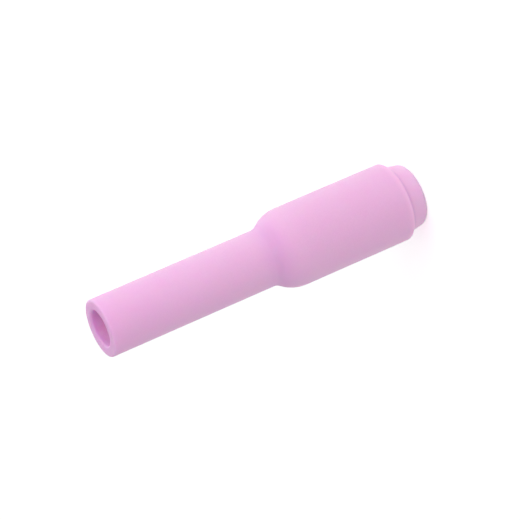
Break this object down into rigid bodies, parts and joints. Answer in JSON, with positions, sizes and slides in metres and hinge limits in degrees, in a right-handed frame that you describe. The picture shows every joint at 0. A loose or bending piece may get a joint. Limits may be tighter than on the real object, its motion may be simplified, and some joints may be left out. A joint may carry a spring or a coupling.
{
  "type": "tig torch gas nozzle",
  "caption": "Long pink ceramic gas nozzle for a TIG torch: slim outlet tube, thicker body, tapered rear spigot with a coarse inside thread.",
  "frame": {"origin": "centre of the flat rear face, on the nozzle's axis", "axes": "+Z along the nozzle's axis from the rear face to the gas outlet, with the nozzle standing on its rear face; the outside is round, so +X and +Y are free"},
  "size_m": [0.0176, 0.0174, 0.076],
  "materials": {
    "pink_alumina": "matte"
  },
  "bodies": {
    "root": {"gas_nozzle": "pink_alumina"}
  },
  "joints": []
}
